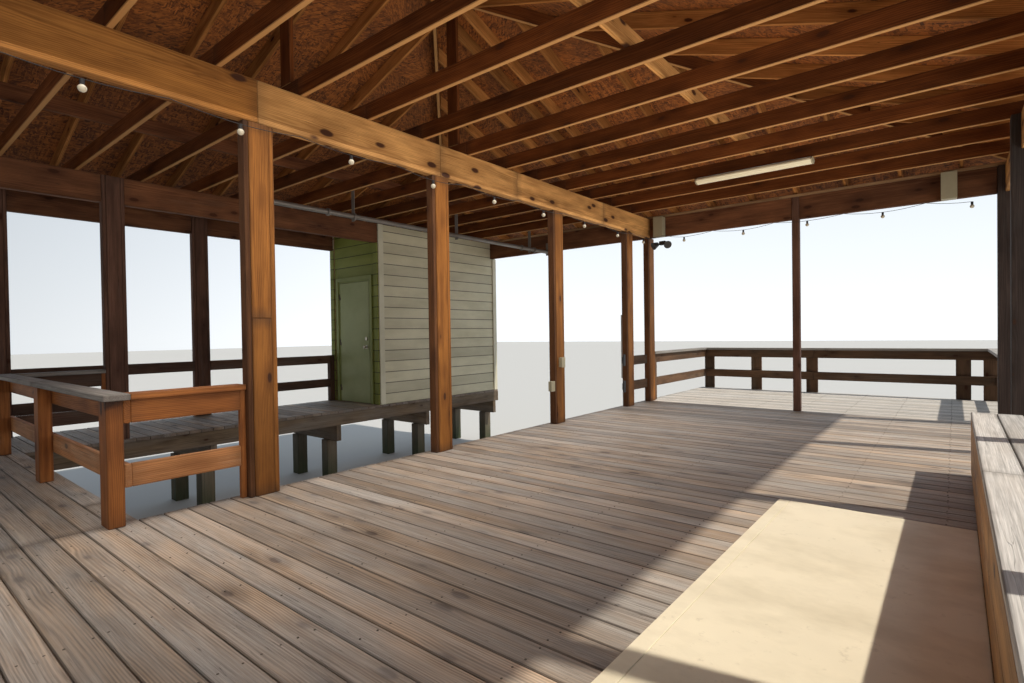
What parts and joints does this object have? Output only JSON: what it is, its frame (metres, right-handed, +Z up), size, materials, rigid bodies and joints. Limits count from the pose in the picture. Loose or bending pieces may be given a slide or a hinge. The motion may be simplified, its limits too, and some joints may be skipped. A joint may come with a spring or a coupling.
{
  "type": "boathouse",
  "caption": "Timber boathouse on piles: a hipped metal roof over a decked pavilion and an open boat slip, with a lap-sided storage room, rails, a bench and a lakeside deck.",
  "frame": {"origin": "under the middle of the plan, at the level of the pile feet", "axes": "+X across the building to the right as seen from the shore end, +Y towards the lake, +Z up"},
  "size_m": [9.916, 13.5, 5.7912],
  "materials": {
    "pile_timber": "wet weathered treated pine",
    "frame_timber": "weathered treated pine",
    "deck_timber": "grey-brown weathered boards",
    "post_timber": "orange-brown stained pine",
    "dark_post_timber": "shaded red-brown pine",
    "beam_timber": "knotty orange-brown pine",
    "rafter_timber": "brown sawn pine",
    "strand_board": "orange-brown strand board",
    "roof_metal": "brown-red ribbed sheet",
    "fascia_timber": "dark stained board",
    "siding_paint": "cream painted lap siding",
    "trim_paint": "cream painted trim",
    "door_paint": "grey-green painted flush door",
    "door_metal": "satin knob and bolt",
    "rail_timber": "weathered red-brown pine",
    "bench_timber": "yellow pine front, grey top",
    "floor_paint": "worn cream floor paint",
    "fitting_plastic": "cream plastic",
    "bar_metal": "white enamel",
    "hoist_metal": "dull galvanized steel with a black winder"
  },
  "bodies": {
    "building": {"piles": "pile_timber", "pile_beams": "frame_timber", "near_deck_frame": "frame_timber", "main_deck_frame": "frame_timber", "walkway_frame": "frame_timber", "near_deck": "deck_timber", "main_deck": "deck_timber", "lake_deck": "deck_timber", "walkway_deck": "deck_timber", "centre_posts": "post_timber", "slip_left_posts": "dark_post_timber", "outer_left_posts": "dark_post_timber", "right_posts": "post_timber", "end_posts": "post_timber", "centre_beam": "beam_timber", "slip_left_beam": "beam_timber", "outer_left_beam": "beam_timber", "right_beam": "beam_timber", "end_headers": "beam_timber", "near_rafters": "rafter_timber", "far_rafters": "rafter_timber", "end_rafters": "rafter_timber", "joist_ties": "rafter_timber", "hip_rafters": "rafter_timber", "roof_boarding": "strand_board", "metal_roof": "roof_metal", "ridge_cap": "roof_metal", "eaves_boards": "fascia_timber", "room_slip_wall": "siding_paint", "room_outer_wall": "siding_paint", "room_far_wall": "siding_paint", "room_door_wall": "siding_paint", "door_head_wall": "siding_paint", "room_trim": "trim_paint", "door_frame": "trim_paint", "slip_rail": "rail_timber", "walkway_rail": "rail_timber", "lake_rail": "rail_timber", "bench": "bench_timber", "floor_panel": "floor_paint", "roof_fittings": "fitting_plastic", "grab_bars": "bar_metal", "boat_hoist": "hoist_metal"},
    "door": {"door_leaf": "door_paint", "door_handle": "door_metal"}
  },
  "joints": [
    {"name": "storage_door", "type": "hinge", "parent": "building", "child": "door", "pos_m": [-4.31, 1.254, 1.105], "axis": [0, 0, -1], "range_deg": [0, 95]}
  ]
}
